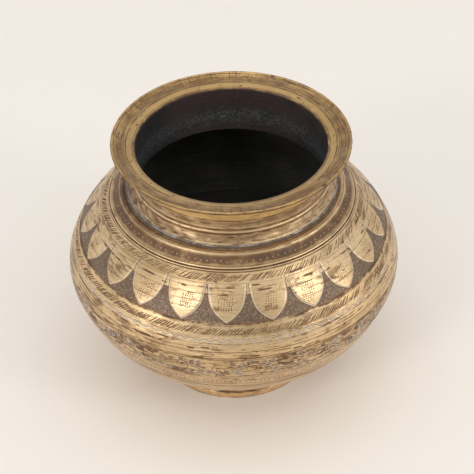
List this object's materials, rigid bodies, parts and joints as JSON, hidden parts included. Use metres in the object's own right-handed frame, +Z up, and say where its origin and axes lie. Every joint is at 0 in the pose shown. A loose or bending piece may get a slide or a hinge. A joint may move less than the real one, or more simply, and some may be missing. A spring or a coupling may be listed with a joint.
{
  "type": "lota water pot",
  "caption": "Round-bellied brass water pot with a flared mouth rim, short neck, chased body and low foot ring.",
  "frame": {"origin": "middle of the foot ring's resting face, on the pot's axis", "axes": "+Z up along the pot's axis, towards the mouth; -Y is the side with the front petal"},
  "size_m": [0.165, 0.165, 0.1343],
  "materials": {
    "rim_brass": "turned and worn bright on the inner slope, brown in the turned lines",
    "neck_brass": "turned, brown with old dirt beside the bead and the collar",
    "chased_brass": "chased and punched, polished high spots over a brown-grey matt ground",
    "bowl_brass": "satin, worn, with fine lathe lines",
    "foot_brass": "rubbed, reddish, dark in the waist",
    "spelter": "grey brazing metal, dull and slightly pitted"
  },
  "bodies": {
    "root": {"mouth_rim": "rim_brass", "neck": "neck_brass", "body_shell": "chased_brass", "bowl": "bowl_brass", "foot_ring": "foot_brass", "rim_braze": "spelter", "neck_braze": "spelter", "seam_braze": "spelter", "foot_braze": "spelter"}
  },
  "joints": []
}
